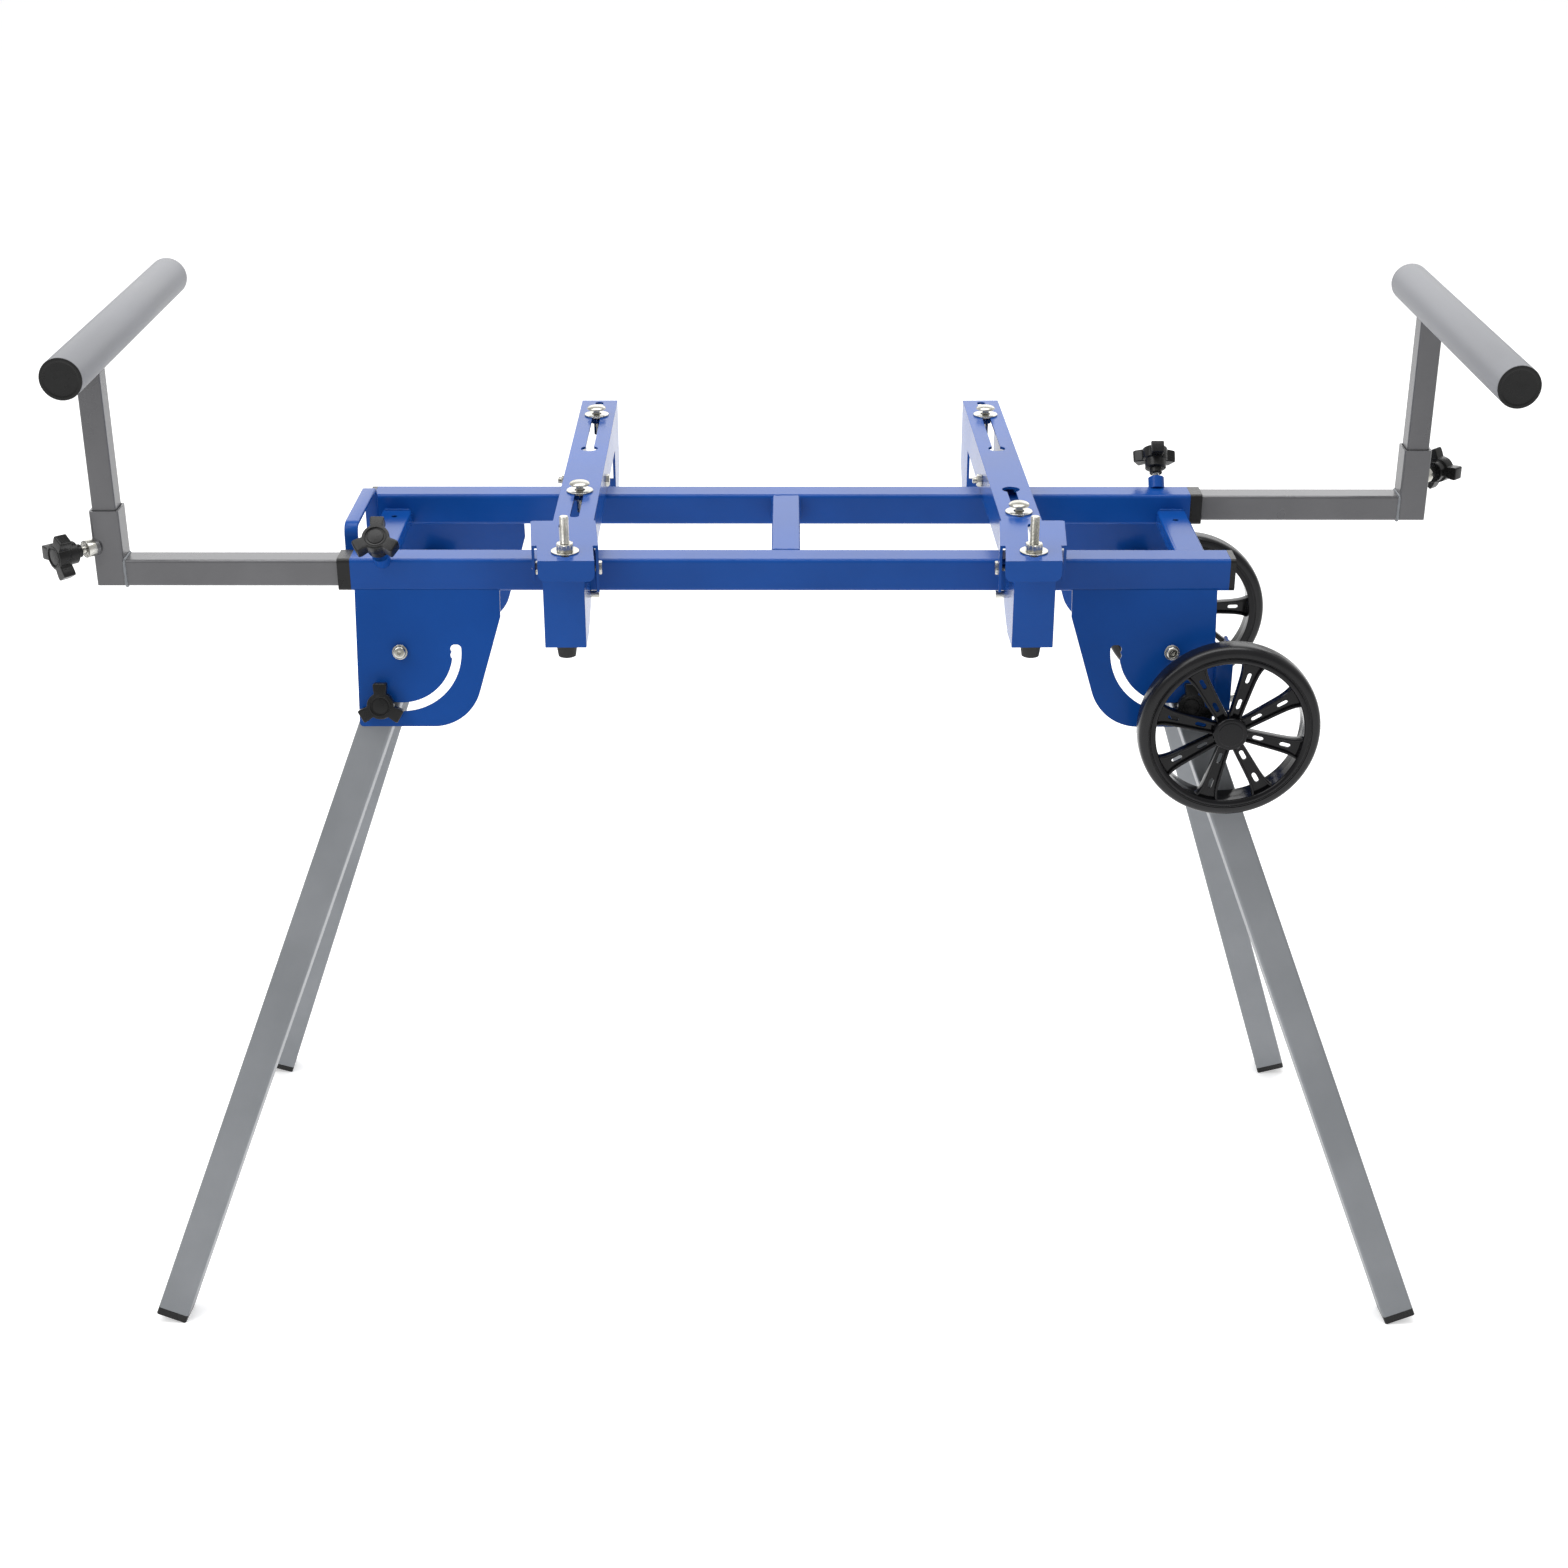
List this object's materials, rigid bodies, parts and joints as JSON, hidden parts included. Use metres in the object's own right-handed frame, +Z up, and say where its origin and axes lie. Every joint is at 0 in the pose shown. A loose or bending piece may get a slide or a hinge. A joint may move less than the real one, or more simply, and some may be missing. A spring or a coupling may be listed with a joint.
{
  "type": "miter saw stand",
  "caption": "Folding miter saw stand with splayed legs, extension arms carrying round work supports, clamp knobs, wheels and sliding quick-release saw brackets.",
  "frame": {"origin": "on the floor, under the middle of the box around the whole stand at rest", "axes": "+X along the rails to the right end with the wheels, +Y from the front rail to the rear rail, +Z up"},
  "size_m": [1.6174, 0.6646, 1.1435],
  "materials": {
    "blue_paint": "gloss",
    "grey_paint": "satin",
    "silver_paint": "satin",
    "zinc_steel": "bright zinc plating",
    "black_plastic": "moulded",
    "tyre_rubber": "satin",
    "black_rubber": "matte"
  },
  "bodies": {
    "frame": {"front_rail": "blue_paint", "rear_rail": "blue_paint", "rail_ends": "black_plastic", "rail_bosses": "blue_paint", "centre_tube": "blue_paint", "end_tubes": "blue_paint", "carry_handle": "blue_paint", "leg_pivot_bolts": "zinc_steel", "wheel_mounts": "blue_paint", "wheel_axles": "zinc_steel", "plate_front_left": "blue_paint", "plate_front_right": "blue_paint", "plate_rear_left": "blue_paint", "plate_rear_right": "blue_paint"},
    "leg_front_left": {"leg_front_left": "grey_paint", "foot_cap_front_left": "black_plastic"},
    "leg_knob_front_left": {"leg_knob_front_left": "black_plastic"},
    "leg_front_right": {"leg_front_right": "grey_paint", "foot_cap_front_right": "black_plastic"},
    "leg_knob_front_right": {"leg_knob_front_right": "black_plastic"},
    "leg_rear_left": {"leg_rear_left": "grey_paint", "foot_cap_rear_left": "black_plastic"},
    "leg_knob_rear_left": {"leg_knob_rear_left": "black_plastic"},
    "leg_rear_right": {"leg_rear_right": "grey_paint", "foot_cap_rear_right": "black_plastic"},
    "leg_knob_rear_right": {"leg_knob_rear_right": "black_plastic"},
    "wheel_front": {"tyre_front": "tyre_rubber", "wheel_front": "black_plastic", "hub_cap_front": "black_plastic"},
    "wheel_rear": {"tyre_rear": "tyre_rubber", "wheel_rear": "black_plastic", "hub_cap_rear": "black_plastic"},
    "arm_left": {"arm_left": "grey_paint", "socket_left": "grey_paint"},
    "post_left": {"post_left": "grey_paint", "support_tube_left": "silver_paint", "support_plugs_left": "black_plastic"},
    "rail_knob_left": {"rail_knob_left": "black_plastic"},
    "socket_knob_left": {"socket_knob_left": "black_plastic"},
    "arm_right": {"arm_right": "grey_paint", "socket_right": "grey_paint"},
    "post_right": {"post_right": "grey_paint", "support_tube_right": "silver_paint", "support_plugs_right": "black_plastic"},
    "rail_knob_right": {"rail_knob_right": "black_plastic"},
    "socket_knob_right": {"socket_knob_right": "black_plastic"},
    "bracket_left": {"saw_bracket_left": "blue_paint", "rear_catch_left": "blue_paint", "rear_foot_left": "black_rubber", "bracket_bolts_left": "zinc_steel"},
    "lever_left": {"release_lever_left": "blue_paint", "lock_pin_left": "zinc_steel", "lever_foot_left": "black_rubber"},
    "bracket_right": {"saw_bracket_right": "blue_paint", "rear_catch_right": "blue_paint", "rear_foot_right": "black_rubber", "bracket_bolts_right": "zinc_steel"},
    "lever_right": {"release_lever_right": "blue_paint", "lock_pin_right": "zinc_steel", "lever_foot_right": "black_rubber"}
  },
  "joints": [
    {"name": "fold_front_left", "type": "hinge", "parent": "frame", "child": "leg_front_left", "pos_m": [-0.4265, -0.17726, 0.79381], "axis": [0, -0.9806, 0.1959], "range_deg": [0, 113.5]},
    {"name": "turn_leg_knob_front_left", "type": "hinge", "parent": "leg_front_left", "child": "leg_knob_front_left", "pos_m": [-0.44849, -0.19461, 0.73762], "axis": [0, -0.9806, 0.1959], "range_deg": [0, 360]},
    {"name": "fold_front_right", "type": "hinge", "parent": "frame", "child": "leg_front_right", "pos_m": [0.4265, -0.17726, 0.79381], "axis": [0, 0.9806, -0.1959], "range_deg": [0, 102]},
    {"name": "turn_leg_knob_front_right", "type": "hinge", "parent": "leg_front_right", "child": "leg_knob_front_right", "pos_m": [0.44849, -0.19461, 0.73762], "axis": [0, -0.9806, 0.1959], "range_deg": [0, 360]},
    {"name": "fold_rear_left", "type": "hinge", "parent": "frame", "child": "leg_rear_left", "pos_m": [-0.4265, 0.11619, 0.79381], "axis": [0, -0.9806, -0.1959], "range_deg": [0, 100.9]},
    {"name": "turn_leg_knob_rear_left", "type": "hinge", "parent": "leg_rear_left", "child": "leg_knob_rear_left", "pos_m": [-0.44736, 0.13362, 0.73721], "axis": [0, 0.9806, 0.1959], "range_deg": [0, 360]},
    {"name": "fold_rear_right", "type": "hinge", "parent": "frame", "child": "leg_rear_right", "pos_m": [0.4265, 0.11619, 0.79381], "axis": [0, 0.9806, 0.1959], "range_deg": [0, 110.4]},
    {"name": "turn_leg_knob_rear_right", "type": "hinge", "parent": "leg_rear_right", "child": "leg_knob_rear_right", "pos_m": [0.44529, 0.13375, 0.73653], "axis": [0, 0.9806, 0.1959], "range_deg": [0, 360]},
    {"name": "roll_wheel_front", "type": "hinge", "parent": "frame", "child": "wheel_front", "pos_m": [0.486, -0.22854, 0.724], "axis": [0, 1, 0], "continuous": true},
    {"name": "roll_wheel_rear", "type": "hinge", "parent": "frame", "child": "wheel_rear", "pos_m": [0.495, 0.16746, 0.7155], "axis": [0, 1, 0], "continuous": true},
    {"name": "extend_arm_left", "type": "slide", "parent": "frame", "child": "arm_left", "axis": [-1, 0, 0], "range_m": [-0.225, 0.3]},
    {"name": "raise_support_left", "type": "slide", "parent": "arm_left", "child": "post_left", "axis": [0, 0, 1], "range_m": [-0.145, 0.045]},
    {"name": "turn_rail_knob_left", "type": "hinge", "parent": "frame", "child": "rail_knob_left", "pos_m": [-0.442, -0.15991, 0.89337], "axis": [0, -0.6428, 0.766], "range_deg": [0, 360]},
    {"name": "turn_socket_knob_left", "type": "hinge", "parent": "arm_left", "child": "socket_knob_left", "pos_m": [-0.75377, -0.15805, 0.9096], "axis": [-0.7071, -0.7071, 0], "range_deg": [0, 360]},
    {"name": "extend_arm_right", "type": "slide", "parent": "frame", "child": "arm_right", "axis": [1, 0, 0], "range_m": [-0.225, 0.3]},
    {"name": "raise_support_right", "type": "slide", "parent": "arm_right", "child": "post_right", "axis": [0, 0, 1], "range_m": [-0.145, 0.045]},
    {"name": "turn_rail_knob_right", "type": "hinge", "parent": "frame", "child": "rail_knob_right", "pos_m": [0.442, 0.09884, 0.89337], "axis": [0, 0.6428, 0.766], "range_deg": [0, 360]},
    {"name": "turn_socket_knob_right", "type": "hinge", "parent": "arm_right", "child": "socket_knob_right", "pos_m": [0.75377, 0.09698, 0.9096], "axis": [0.7071, 0.7071, 0], "range_deg": [0, 360]},
    {"name": "slide_bracket_left", "type": "slide", "parent": "frame", "child": "bracket_left", "axis": [-1, 0, 0], "range_m": [-0.15, 0.04]},
    {"name": "swing_lever_left", "type": "hinge", "parent": "bracket_left", "child": "lever_left", "pos_m": [-0.23636, -0.21083, 0.904], "axis": [-0.9999, -0.0113, 0], "range_deg": [0, 30], "stiffness_Nm_per_rad": 1, "springref_deg": -11.46},
    {"name": "slide_bracket_right", "type": "slide", "parent": "frame", "child": "bracket_right", "axis": [1, 0, 0], "range_m": [-0.15, 0.02]},
    {"name": "swing_lever_right", "type": "hinge", "parent": "bracket_right", "child": "lever_right", "pos_m": [0.26356, -0.20992, 0.904], "axis": [-0.9998, -0.0209, 0], "range_deg": [0, 30], "stiffness_Nm_per_rad": 1, "springref_deg": -11.46}
  ]
}
